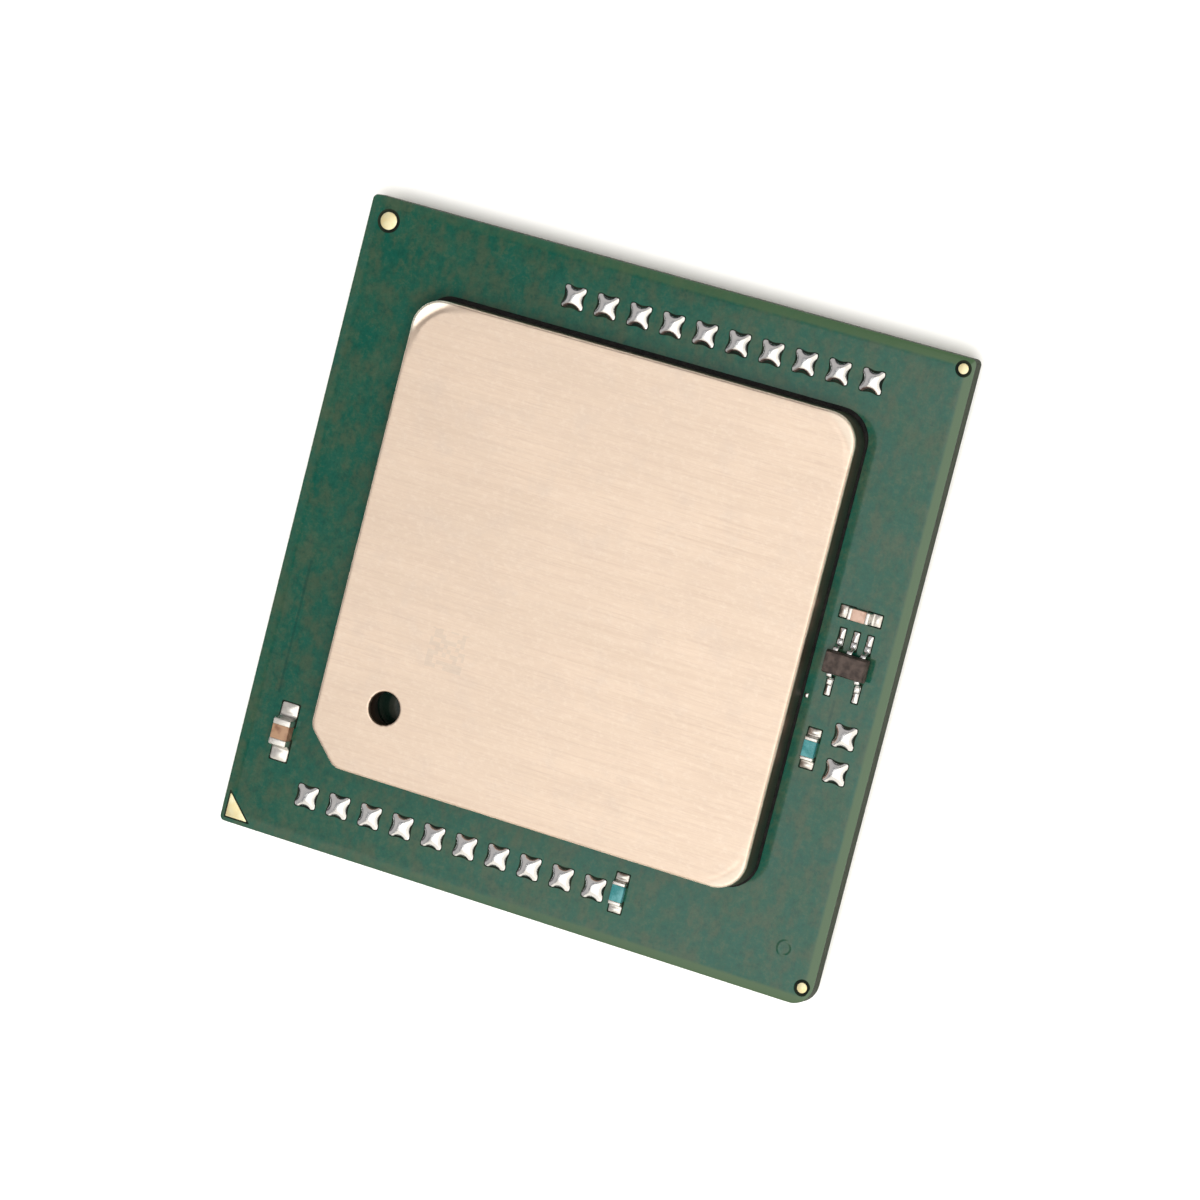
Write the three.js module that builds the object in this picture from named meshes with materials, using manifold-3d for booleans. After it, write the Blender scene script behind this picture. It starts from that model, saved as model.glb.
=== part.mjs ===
// A pin-grid processor package: a green laminate board that carries a flip-chip die
// under a nickel-plated copper lid, with 604 pins below and small parts around the lid.
// Millimetres, +Z up. The origin is under the board's centre, at the tips of the pins.
// +X runs along the rows of test pads, and the pin-one corner is at -X, -Y.
import * as THREE from 'three';
import { mergeVertices } from 'three/addons/utils/BufferGeometryUtils.js';
import Module from 'manifold-3d';

const wasm = await Module();
wasm.setup();

// ---------------------------------------------------------------- driving dimensions

// Board: a core with build-up layers and solder mask on both sides.
const board_size = 42.5;
const board_corner_radius = 0.35;
const board_round_corner_radius = 1.4; // the corner at +X, -Y
const core_thickness = 0.8;
const build_up_thickness = 0.12;
const mask_thickness = 0.03;
const mask_clearance = 0.04; // from a mask opening to the metal inside it

// Pins: a full grid with an empty square in the middle and two empty corners.
const pin_columns = 31;
const pin_rows = 25;
const pin_pitch = 1.27;
const pin_width = 0.31;
const pin_length = 2.03;
const pin_margin = 0.5; // of solder land around the outer pins of a block
const empty_columns = 13;
const empty_rows = 13;

// Lid, the integrated heat spreader.
const lid_size = 31.2;
const lid_centre_y = 0.3;
const lid_top_above_board = 2.3;
const lid_plate_thickness = 1.2;
const lid_cavity_size = 24.6;
const lid_cavity_radius = 1.5;
const lid_corner_radius = 2;
const lid_chamfer = 2.2; // across the pin-one corner
const lid_chamfer_rounding = 0.5;
const lid_edge_radius = 0.4;
const lid_edge_steps = 3;
const vent_radius = 1.1;
const vent_from_centre = 10.9; // towards the pin-one corner, in X and in Y
const vent_segments = 24;

// What is under the lid.
const sealant_thickness = 0.15;
const sealant_inset = 0.3;
const sealant_width = 2.2;
const die_length = 12.4;
const die_width = 10.8;
const die_thickness = 0.78;
const underfill_margin = 0.7;
const underfill_thickness = 0.08; // between the board and the die, around the solder bumps
const interface_margin = 0.4;

// Test pads: soldered square lands in rows.
const pad_pitch = 2.32;
const pad_size = 1.5;
const pad_top_size = 0.6;
const pad_height = 0.25; // above the copper
const pads_per_row = 10;

// Marks on the board.
const large_fiducial_radius = 0.58;
const small_fiducial_radius = 0.34;
const fiducial_ring = 0.2; // bare ring around a fiducial
const fiducial_segments = 20;
const marker_leg = 1.6;
const marker_ring = 0.2;
const marker_inset = 0.35; // from the board's edges

// Two-terminal chip parts: length, width, height, terminal length, visible land.
const large_capacitor = { length: 1.8, width: 1.25, height: 0.85, terminal: 0.45, land: 1.05 };
const small_capacitor = { length: 1.5, width: 0.8, height: 0.55, terminal: 0.3, land: 0.68 };
const small_resistor = { length: 1.55, width: 0.9, height: 0.45, terminal: 0.27, land: 0.53 };
const hidden_chip = { length: 2, width: 1.25, height: 0.8 };
const part_standoff = 0.02; // a part's body above the mask
const solder_rise = 0.7; // of the height that the solder climbs up a terminal

// Five-lead chip.
const chip_length = 2.9;
const chip_width = 1.5;
const chip_height = 1.0;
const chip_gap = 0.1; // under its body
const lead_pitch = 0.95;
const lead_width = 0.4;
const lead_thickness = 0.15;
const lead_exit_height = 0.6; // of a lead's top, where it leaves the body
const lead_shoulder = 0.3;
const lead_foot = 0.45;
const lead_land = 0.7;

// ------------------------------------------------------------------- derived heights

const z_mask_bottom = pin_length;
const z_build_up_bottom = z_mask_bottom + mask_thickness;
const z_core = z_build_up_bottom + build_up_thickness;
const z_build_up_top = z_core + core_thickness;
const z_mask_top = z_build_up_top + build_up_thickness;
const z_board = z_mask_top + mask_thickness;
const z_lid_rim = z_board + sealant_thickness;
const z_lid_top = z_board + lid_top_above_board;
const z_lid_ceiling = z_lid_top - lid_plate_thickness;
const z_die = z_board + underfill_thickness;
const z_die_top = z_die + die_thickness;

// -------------------------------------------------------------------------- materials

function finish(color, roughness, metalness) {
  return new THREE.MeshStandardMaterial({ color, roughness, metalness });
}

const laminate = finish('#7c8a55', 0.7, 0);
const mask_green = finish('#35624d', 0.45, 0);
const nickel = finish('#e9d8c3', 0.35, 0.9);
const gold = finish('#e6c67a', 0.3, 1);
const tin = finish('#c9cbd3', 0.3, 0.9);
const black_resin = finish('#2a211f', 0.55, 0);
const tan_ceramic = finish('#a07a62', 0.6, 0);
const teal_glaze = finish('#3f7f86', 0.4, 0);
const grey_silicone = finish('#3b3f42', 0.8, 0);
const indium = finish('#9aa0a6', 0.5, 0.8);
const silicon = finish('#50545c', 0.25, 0.3);
const amber_resin = finish('#5a3d22', 0.4, 0);

// --------------------------------------------------------------------- building tools

const processor = new THREE.Group();

function add(name, geometry, material, x = 0, y = 0, z = 0, turn = 0) {
  const mesh = new THREE.Mesh(geometry, material);
  mesh.name = name;
  mesh.position.set(x, y, z);
  mesh.rotation.z = turn;
  processor.add(mesh);
}

function toSolid(geometry) {
  const bare = geometry.clone();
  bare.deleteAttribute('normal');
  bare.deleteAttribute('uv');
  const merged = mergeVertices(bare.index ? bare.toNonIndexed() : bare);
  return new wasm.Manifold(new wasm.Mesh({
    numProp: 3,
    vertProperties: new Float32Array(merged.attributes.position.array),
    triVerts: new Uint32Array(merged.index.array),
  }));
}

function toGeometry(solid) {
  const mesh = solid.getMesh();
  const geometry = new THREE.BufferGeometry();
  geometry.setAttribute('position', new THREE.BufferAttribute(mesh.vertProperties, 3));
  geometry.setIndex(new THREE.BufferAttribute(mesh.triVerts, 1));
  return geometry;
}

function rectangle(x0, y0, x1, y1) {
  const shape = new THREE.Shape();
  shape.moveTo(x0, y0);
  shape.lineTo(x1, y0);
  shape.lineTo(x1, y1);
  shape.lineTo(x0, y1);
  return shape;
}

function rectangleAround(x, y, width, depth) {
  return rectangle(x - width / 2, y - depth / 2, x + width / 2, y + depth / 2);
}

function circle(x, y, radius) {
  const shape = new THREE.Shape();
  shape.absarc(x, y, radius, 0, Math.PI * 2);
  return shape;
}

// A square outline with its own radius on each corner.
function roundedSquare(size, radii) {
  const half = size / 2;
  const path = new THREE.Shape();
  path.moveTo(-half + radii.southwest, -half);
  path.absarc(half - radii.southeast, -half + radii.southeast, radii.southeast, -Math.PI / 2, 0);
  path.absarc(half - radii.northeast, half - radii.northeast, radii.northeast, 0, Math.PI / 2);
  path.absarc(-half + radii.northwest, half - radii.northwest, radii.northwest, Math.PI / 2, Math.PI);
  path.absarc(-half + radii.southwest, -half + radii.southwest, radii.southwest, Math.PI, Math.PI * 1.5);
  return path;
}

function extrude(outline, height, curveSegments = 6) {
  return new THREE.ExtrudeGeometry(outline, { depth: height, bevelEnabled: false, curveSegments });
}

function box(width, depth, height) {
  const geometry = new THREE.BoxGeometry(width, depth, height);
  geometry.translate(0, 0, height / 2);
  return geometry;
}

// A sheet cut right through by each of the outlines.
function cutSheet(outline, thickness, openings) {
  let sheet = toSolid(extrude(outline, thickness));
  for (const opening of openings) {
    const cutter = extrude(opening, 3 * thickness);
    cutter.translate(0, 0, -thickness);
    sheet = sheet.subtract(toSolid(cutter));
  }
  return toGeometry(sheet);
}

// A profile drawn in the plane of run (x) and rise (y), swept across the given width.
function sweptProfile(points, width) {
  const geometry = extrude(new THREE.Shape(points), width);
  geometry.translate(0, 0, -width / 2);
  geometry.rotateX(Math.PI / 2);
  return geometry;
}

// ------------------------------------------------------------------------------ board

function boardOutline() {
  const sharp = board_corner_radius;
  const radii = { southwest: sharp, southeast: board_round_corner_radius, northeast: sharp, northwest: sharp };
  return roundedSquare(board_size, radii);
}

function addBoardLayers() {
  add('build_up_layers_bottom', extrude(boardOutline(), build_up_thickness), laminate, 0, 0, z_build_up_bottom);
  add('substrate_core', extrude(boardOutline(), core_thickness), laminate, 0, 0, z_core);
  add('build_up_layers_top', extrude(boardOutline(), build_up_thickness), laminate, 0, 0, z_build_up_top);
}

// ------------------------------------------------------------------------------- pins

// Where a column or a row of the grid lies, with the grid centred on the board.
const columnX = (column) => (column - (pin_columns - 1) / 2) * pin_pitch;
const rowY = (row) => (row - (pin_rows - 1) / 2) * pin_pitch;

const side_columns = (pin_columns - empty_columns) / 2;
const end_rows = (pin_rows - empty_rows) / 2;
const last_column = pin_columns - 1;
const last_row = pin_rows - 1;

// The grid is four blocks around the empty square: first and last column, first and last row.
const pin_blocks = {
  pins_north: [0, last_column, last_row - end_rows + 1, last_row],
  pins_south: [0, last_column, 0, end_rows - 1],
  pins_west: [0, side_columns - 1, end_rows, last_row - end_rows],
  pins_east: [last_column - side_columns + 1, last_column, end_rows, last_row - end_rows],
};

// The position keys: the two outer corners of the last row hold no pin.
function isEmptyCorner(column, row) {
  return row === last_row && (column === 0 || column === last_column);
}

// The rectangle of solder lands that a block's pins stand on, grown by a clearance.
function blockRectangle(block, clearance) {
  const [first_column, end_column, first_row, end_row] = block;
  const margin = pin_margin + clearance;
  return [
    columnX(first_column) - margin,
    rowY(first_row) - margin,
    columnX(end_column) + margin,
    rowY(end_row) + margin,
  ];
}

// One solid for each block: its lands as one thin sheet, with every pin standing on it.
function pinBlock(block) {
  const [first_column, end_column, first_row, end_row] = block;
  const sheet = extrude(rectangle(...blockRectangle(block, 0)), mask_thickness);
  sheet.translate(0, 0, z_mask_bottom);
  const pin = box(pin_width, pin_width, z_mask_bottom + mask_thickness / 2);
  let solid = toSolid(sheet);
  for (let row = first_row; row <= end_row; row += 1) {
    for (let column = first_column; column <= end_column; column += 1) {
      if (isEmptyCorner(column, row)) continue;
      solid = solid.add(toSolid(pin).translate(columnX(column), rowY(row), 0));
    }
  }
  return toGeometry(solid);
}

function addPins() {
  for (const [name, block] of Object.entries(pin_blocks)) add(name, pinBlock(block), gold);
}

// --------------------------------------------------------------- where the parts stand

const pad_rows = [
  { name: 'test_pads_north', x: 4.46, y: 18.2, count: pads_per_row, along: 'x' },
  { name: 'test_pads_south', x: -5.15, y: -18.05, count: pads_per_row, along: 'x' },
  { name: 'test_pads_east', x: 19.05, y: -5.13, count: 2, along: 'y' },
];

const fiducials = [
  { name: 'fiducial_northwest', x: -19.8, y: 19.75, radius: large_fiducial_radius },
  { name: 'fiducial_northeast', x: 20.5, y: 20.5, radius: small_fiducial_radius },
  { name: 'fiducial_southeast', x: 20.5, y: -20.1, radius: small_fiducial_radius },
];

const chip_parts = [
  { name: 'capacitor_west', x: -18.22, y: -14.38, along: 'y', size: large_capacitor, body: tan_ceramic },
  { name: 'resistor_south', x: 7.02, y: -17.86, along: 'y', size: small_resistor, body: teal_glaze },
  { name: 'capacitor_east', x: 18.08, y: 3.72, along: 'x', size: small_capacitor, body: tan_ceramic },
  { name: 'resistor_east', x: 17.06, y: -5.28, along: 'y', size: small_resistor, body: teal_glaze },
];

const five_lead_chip = { x: 18.13, y: 0.48 };

// Each lead's offset along the body, and the side that it leaves from.
const leads = [
  { along: -lead_pitch, side: -1 },
  { along: lead_pitch, side: -1 },
  { along: lead_pitch, side: 1 },
  { along: 0, side: 1 },
  { along: -lead_pitch, side: 1 },
];

// ------------------------------------------------------------------------ solder masks

const marker_corner = -board_size / 2 + marker_inset;

// The pin-one triangle, grown by a margin on every side.
function markerTriangle(margin) {
  const leg = marker_leg + margin * (2 + Math.SQRT2);
  const corner = marker_corner - margin;
  return new THREE.Shape([
    new THREE.Vector2(corner, corner),
    new THREE.Vector2(corner + leg, corner),
    new THREE.Vector2(corner, corner + leg),
  ]);
}

// The size of a row of pads, along the row and across it.
function padRowSize(row) {
  const length = (row.count - 1) * pad_pitch + pad_size;
  return row.along === 'x' ? [length, pad_size] : [pad_size, length];
}

// Both lands of a two-terminal part, as [x, y, width, depth].
function landsOf(part) {
  const { length, width, terminal, land } = part.size;
  const run = terminal + land;
  const reach = length / 2 - terminal + run / 2;
  return [-1, 1].map((side) => (part.along === 'x'
    ? [part.x + side * reach, part.y, run, width]
    : [part.x, part.y + side * reach, width, run]));
}

const lead_run = lead_shoulder + lead_foot + lead_land;

function landsOfLeads() {
  return leads.map(({ along, side }) => {
    const reach = chip_width / 2 + lead_shoulder + (lead_foot + lead_land) / 2;
    return [five_lead_chip.x + along, five_lead_chip.y + side * reach, lead_width, lead_foot + lead_land];
  });
}

function topMaskOpenings() {
  const openings = [];
  const grown = 2 * mask_clearance;
  const open = (x, y, width, depth) => openings.push(rectangleAround(x, y, width + grown, depth + grown));
  for (const row of pad_rows) open(row.x, row.y, ...padRowSize(row));
  for (const part of chip_parts) landsOf(part).forEach((land) => open(...land));
  landsOfLeads().forEach((land) => open(...land));
  open(0, lid_centre_y, die_length + 2 * underfill_margin, die_width + 2 * underfill_margin);
  for (const { x, y, radius } of fiducials) openings.push(circle(x, y, radius + fiducial_ring));
  openings.push(markerTriangle(marker_ring));
  return openings;
}

function addSolderMasks() {
  const top = cutSheet(boardOutline(), mask_thickness, topMaskOpenings());
  add('solder_mask_top', top, mask_green, 0, 0, z_mask_top);

  // Underneath, the mask frames the four blocks of pins and the capacitors between them.
  const blocks = Object.values(pin_blocks);
  const openings = blocks.map((block) => rectangle(...blockRectangle(block, mask_clearance)));
  const bare = empty_columns * pin_pitch - 2 * pin_margin;
  openings.push(rectangleAround(0, 0, bare, bare));
  const bottom = cutSheet(boardOutline(), mask_thickness, openings);
  add('solder_mask_bottom', bottom, mask_green, 0, 0, z_mask_bottom);
}

// ----------------------------------------------------------------------- marks and pads

function addMarks() {
  for (const { name, x, y, radius } of fiducials) {
    const dot = new THREE.CylinderGeometry(radius, radius, mask_thickness, fiducial_segments);
    dot.rotateX(Math.PI / 2);
    dot.translate(0, 0, mask_thickness / 2);
    add(name, dot, gold, x, y, z_mask_top);
  }
  add('pin_one_marker', extrude(markerTriangle(0), mask_thickness), gold, 0, 0, z_mask_top);
}

// A solder-capped square land: a square frustum.
function solderPad() {
  const square_to_circle = Math.SQRT1_2;
  const pad = new THREE.CylinderGeometry(
    pad_top_size * square_to_circle,
    pad_size * square_to_circle,
    pad_height,
    4,
  );
  pad.rotateY(Math.PI / 4);
  pad.rotateX(Math.PI / 2);
  pad.translate(0, 0, pad_height / 2);
  return pad;
}

// A row of pads on the copper strip that joins them in the mask's opening.
function padRow(row) {
  let solid = toSolid(box(...padRowSize(row), mask_thickness));
  for (let index = 0; index < row.count; index += 1) {
    const offset = (index - (row.count - 1) / 2) * pad_pitch;
    const [dx, dy] = row.along === 'x' ? [offset, 0] : [0, offset];
    solid = solid.add(toSolid(solderPad()).translate(dx, dy, 0));
  }
  return toGeometry(solid);
}

function addTestPads() {
  for (const row of pad_rows) add(row.name, padRow(row), tin, row.x, row.y, z_mask_top);
}

// -------------------------------------------------------------------- two-terminal parts

// A terminal with its solder and its land: it runs outwards along +X from the body's end.
function chipTerminal(size) {
  const rise = size.height + part_standoff + mask_thickness;
  const run = size.terminal + size.land;
  const profile = [
    new THREE.Vector2(0, 0),
    new THREE.Vector2(run, 0),
    new THREE.Vector2(run, mask_thickness),
    new THREE.Vector2(size.terminal + size.land / 3, mask_thickness),
    new THREE.Vector2(size.terminal, rise * solder_rise),
    new THREE.Vector2(size.terminal, rise),
    new THREE.Vector2(0, rise),
  ];
  return sweptProfile(profile, size.width);
}

function addChipParts() {
  const ends = { x: ['west', 'east'], y: ['south', 'north'] };
  for (const part of chip_parts) {
    const { length, width, height, terminal } = part.size;
    const turn = part.along === 'x' ? 0 : Math.PI / 2;
    const body = box(length - 2 * terminal, width, height);
    add(`${part.name}_body`, body, part.body, part.x, part.y, z_board + part_standoff, turn);
    [-1, 1].forEach((side, index) => {
      const reach = side * (length / 2 - terminal);
      const [dx, dy] = part.along === 'x' ? [reach, 0] : [0, reach];
      const facing = side > 0 ? turn : turn + Math.PI;
      const name = `${part.name}_terminal_${ends[part.along][index]}`;
      add(name, chipTerminal(part.size), tin, part.x + dx, part.y + dy, z_mask_top, facing);
    });
  }
}

// -------------------------------------------------------------------------- chip and leads

// A gull-wing lead and its land: it runs outwards along +X from the body's side.
function gullWingLead() {
  const exit = lead_exit_height + mask_thickness;
  const profile = [
    new THREE.Vector2(0, exit - lead_thickness),
    new THREE.Vector2(lead_shoulder - lead_thickness, exit - lead_thickness),
    new THREE.Vector2(lead_shoulder, 0),
    new THREE.Vector2(lead_run, 0),
    new THREE.Vector2(lead_run, mask_thickness),
    new THREE.Vector2(lead_shoulder + lead_foot, mask_thickness),
    new THREE.Vector2(lead_shoulder + lead_foot, mask_thickness + lead_thickness),
    new THREE.Vector2(lead_shoulder + lead_thickness, mask_thickness + lead_thickness),
    new THREE.Vector2(lead_shoulder, exit),
    new THREE.Vector2(0, exit),
  ];
  return sweptProfile(profile, lead_width);
}

function addFiveLeadChip() {
  const { x, y } = five_lead_chip;
  add('five_lead_chip_body', box(chip_length, chip_width, chip_height), black_resin, x, y, z_board + chip_gap);
  leads.forEach(({ along, side }, index) => {
    const turn = side * Math.PI / 2;
    const exit_y = y + side * chip_width / 2;
    add(`five_lead_chip_lead_${index + 1}`, gullWingLead(), tin, x + along, exit_y, z_mask_top, turn);
  });
}

// -------------------------------------------------------------------------------- lid

// The lid's outline, drawn inside its edge by an inset: round corners, and a straight
// chamfer across the pin-one corner.
function lidOutline(inset) {
  const path = new THREE.Shape();
  const half = lid_size / 2 - inset;
  const radius = lid_corner_radius - inset;
  const chamfer = lid_chamfer - inset * (2 - Math.SQRT2);
  const rounding = lid_chamfer_rounding;
  const slant = rounding * Math.SQRT1_2;
  path.moveTo(-half + chamfer + rounding, -half);
  path.absarc(half - radius, -half + radius, radius, -Math.PI / 2, 0);
  path.absarc(half - radius, half - radius, radius, 0, Math.PI / 2);
  path.absarc(-half + radius, half - radius, radius, Math.PI / 2, Math.PI);
  path.lineTo(-half, -half + chamfer + rounding);
  path.quadraticCurveTo(-half, -half + chamfer, -half + slant, -half + chamfer - slant);
  path.lineTo(-half + chamfer - slant, -half + slant);
  path.quadraticCurveTo(-half + chamfer, -half, -half + chamfer + rounding, -half);
  return path;
}

const cavity_radii = {
  southwest: lid_cavity_radius,
  southeast: lid_cavity_radius,
  northeast: lid_cavity_radius,
  northwest: lid_cavity_radius,
};

// The lid with its top edge rounded, its cavity open below and its vent hole.
function lidGeometry() {
  const height = z_lid_top - z_lid_rim;
  const blank = new THREE.ExtrudeGeometry(lidOutline(0), {
    depth: height,
    bevelThickness: lid_edge_radius,
    bevelSize: lid_edge_radius,
    bevelOffset: -lid_edge_radius,
    bevelSegments: lid_edge_steps,
    curveSegments: 6,
  });
  blank.translate(0, 0, -lid_edge_radius);
  const below = box(2 * lid_size, 2 * lid_size, height);
  below.translate(0, 0, -height);
  const cavity_outline = roundedSquare(lid_cavity_size, cavity_radii);
  const cavity = extrude(cavity_outline, z_lid_ceiling - z_lid_rim, 4);
  const vent = new THREE.CylinderGeometry(vent_radius, vent_radius, 2 * height, vent_segments);
  vent.rotateX(Math.PI / 2);
  vent.translate(-vent_from_centre, -vent_from_centre, height);
  return toGeometry(toSolid(blank).subtract(toSolid(below)).subtract(toSolid(cavity)).subtract(toSolid(vent)));
}

function addLid() {
  add('heat_spreader', lidGeometry(), nickel, 0, lid_centre_y, z_lid_rim);
  const inner_size = lid_size - 2 * (sealant_inset + sealant_width);
  const bead = cutSheet(lidOutline(sealant_inset), sealant_thickness, [roundedSquare(inner_size, cavity_radii)]);
  add('lid_sealant', bead, grey_silicone, 0, lid_centre_y, z_board);
}

// ----------------------------------------------------------------------- under the lid

function addDieStack() {
  const underfill_length = die_length + 2 * underfill_margin;
  const underfill_width = die_width + 2 * underfill_margin;
  const underfill = box(underfill_length, underfill_width, underfill_thickness + mask_thickness);
  add('underfill', underfill, amber_resin, 0, lid_centre_y, z_mask_top);
  add('silicon_die', box(die_length, die_width, die_thickness), silicon, 0, lid_centre_y, z_die);
  const interface_length = die_length + 2 * interface_margin;
  const interface_width = die_width + 2 * interface_margin;
  const pad = box(interface_length, interface_width, z_lid_ceiling - z_die_top);
  add('thermal_interface', pad, indium, 0, lid_centre_y, z_die_top);
}

// Capacitors beside the die, under the lid: two columns of three.
function addDieSideCapacitors() {
  const { length, width } = hidden_chip;
  const height = 0.6;
  const column_x = 9.3;
  const row_pitch = 3.6;
  let number = 1;
  for (const side of [-1, 1]) {
    for (const row of [-1, 0, 1]) {
      const y = lid_centre_y + row * row_pitch;
      add(`die_side_capacitor_${number}`, box(width, length, height), tan_ceramic, side * column_x, y, z_board);
      number += 1;
    }
  }
}

// Capacitors in the empty square between the pins, hanging below the board.
function addPinSideCapacitors() {
  const columns = 3;
  const rows = 4;
  const column_pitch = 4.4;
  const row_pitch = 3.3;
  const { length, width, height } = hidden_chip;
  for (let index = 0; index < columns * rows; index += 1) {
    const x = ((index % columns) - (columns - 1) / 2) * column_pitch;
    const y = (Math.floor(index / columns) - (rows - 1) / 2) * row_pitch;
    const body = box(length, width, height);
    add(`pin_side_capacitor_${index + 1}`, body, tan_ceramic, x, y, z_build_up_bottom - height);
  }
}

addBoardLayers();
addSolderMasks();
addPins();
addMarks();
addTestPads();
addChipParts();
addFiveLeadChip();
addLid();
addDieStack();
addDieSideCapacitors();
addPinSideCapacitors();

export default processor;
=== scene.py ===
import math
import random

import bmesh
import bpy
from mathutils import Matrix, Vector


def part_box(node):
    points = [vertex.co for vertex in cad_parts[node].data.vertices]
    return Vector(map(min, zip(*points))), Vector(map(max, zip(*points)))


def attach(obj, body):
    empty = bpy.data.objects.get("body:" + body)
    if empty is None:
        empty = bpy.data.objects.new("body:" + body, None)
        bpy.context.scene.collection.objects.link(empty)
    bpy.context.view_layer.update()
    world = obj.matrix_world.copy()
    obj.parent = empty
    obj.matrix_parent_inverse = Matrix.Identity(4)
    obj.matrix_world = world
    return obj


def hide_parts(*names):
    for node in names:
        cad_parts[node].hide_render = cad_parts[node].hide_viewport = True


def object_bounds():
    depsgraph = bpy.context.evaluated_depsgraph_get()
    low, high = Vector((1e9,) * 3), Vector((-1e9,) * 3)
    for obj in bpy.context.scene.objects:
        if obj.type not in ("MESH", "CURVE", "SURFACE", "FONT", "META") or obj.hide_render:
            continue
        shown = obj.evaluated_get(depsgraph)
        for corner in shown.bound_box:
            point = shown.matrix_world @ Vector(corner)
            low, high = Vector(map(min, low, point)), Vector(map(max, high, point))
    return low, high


# The looks of the processor package: a brushed nickel lid on a green board with soldered
# test pads, small chip parts and gold marks on top, and round gold pins below.
# Everything is in metres, in the CAD model's frame: +Z up, the pins' tips at z = 0.

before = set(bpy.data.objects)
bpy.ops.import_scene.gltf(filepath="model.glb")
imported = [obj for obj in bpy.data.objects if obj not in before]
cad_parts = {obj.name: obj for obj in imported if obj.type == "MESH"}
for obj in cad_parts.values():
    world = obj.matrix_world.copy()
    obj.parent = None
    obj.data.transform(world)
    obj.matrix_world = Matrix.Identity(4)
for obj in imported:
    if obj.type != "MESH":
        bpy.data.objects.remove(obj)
cad_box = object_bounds()
boxes = {node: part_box(node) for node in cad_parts}

MM = 0.001

# ------------------------------------------------------------------ sizes, in millimetres

LID_CORNER_RADIUS = 2.0
LID_CHAMFER = 2.2
LID_CHAMFER_ROUNDING = 0.5
LID_EDGE_RADIUS = 0.17
LID_FOOT_RADIUS = 0.12
LID_CAVITY = 24.6
LID_CAVITY_RADIUS = 1.5
LID_PLATE = 1.2
BEAD_WIDTH = 0.1  # of black bead beyond the lid's foot: painted shade, shaped like squeezed-out sealant
BEAD_NORTH = 0.27  # the same, on the side towards +Y, where the painted shade is widest
BEAD_HEIGHT = 0.18
VENT_RADIUS = 1.1
VENT_FROM_CENTRE = 10.9
VENT_LIP = 0.09
ETCHED_MARK = (-7.65, -5.8)  # the centre of a square patch of dots on the lid
ETCHED_MARK_SIZE = 2.6
COIN_CENTRE = 4.1  # each corner but pin one's is pressed down beyond an arc about this far in
COIN_RADIUS = 3.95
COIN_DEPTH = 0.075  # at the north-west corner
COIN_DEPTH_ELSEWHERE = 0.012
COIN_STEP = 0.24  # the width of the slope down into it; it rises again towards the corner

BOARD_CORNER_RADIUS = 0.35
BOARD_ROUND_CORNER_RADIUS = 1.4
MASK_GAP = 0.06  # bare ring between a land and the mask around it
MASK_LIP = 0.012
MASK_DROOP = 0.017  # of the mask's surface at the board's edge
MASK_DROOP_WIDTH = 0.2
EDGE_STRIP = 0.62  # where the copper stops short of the board's edge
MASK_TRACES = ((-19.3, -12.0, -3.0), (17.8, -3.6, -1.9))  # x, then the two ends in y
RING_MARK = (18.74, -18.02)  # the centre of a faint ring in the mask
RING_MARK_RADIUS = 0.45
FIDUCIAL_RING = 0.2  # bare ring around a fiducial
MARKER_RING = 0.09  # and around the pin-one triangle
VIA_PLACE = (15.9, -2.09)  # a small plugged hole between the lid and the five-lead chip
VIA_RADIUS = 0.15
VIA_HEIGHT = 0.07

PAD_SIZE = 1.5
PAD_PITCH = 2.32
PAD_PINCH = {"test_pads_north": 0.24, "test_pads_south": 0.18, "test_pads_east": 0.21}
PAD_COUNTS = {"test_pads_north": 10, "test_pads_south": 10, "test_pads_east": 2}

PIN_PITCH = 1.27
PIN_RADIUS = 0.1525
PIN_COLUMNS = 31
PIN_ROWS = 25
PIN_TIP_ROUNDING = 0.07
PIN_SOLDER_HEIGHT = 0.34
PIN_SOLDER_SPREAD = 0.25

# Each two-terminal part: the axis that it lies along, its terminals' length, its body.
CHIP_PARTS = {
    "capacitor_west": ("y", 0.45, "tan_ceramic"),
    "resistor_south": ("y", 0.27, "teal_glaze"),
    "capacitor_east": ("x", 0.3, "pale_ceramic"),
    "resistor_east": ("y", 0.27, "teal_glaze"),
}

board_top = boxes["solder_mask_top"][1].z
land_level = boxes["solder_mask_top"][0].z
board_half = cad_box[1].x
lid_low, lid_high = boxes["heat_spreader"]
lid_half = (lid_high.x - lid_low.x) / 2 / MM
lid_centre_y = (lid_low.y + lid_high.y) / 2 / MM
lid_top = lid_high.z / MM


# -------------------------------------------------------------------------- shader tools


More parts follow.
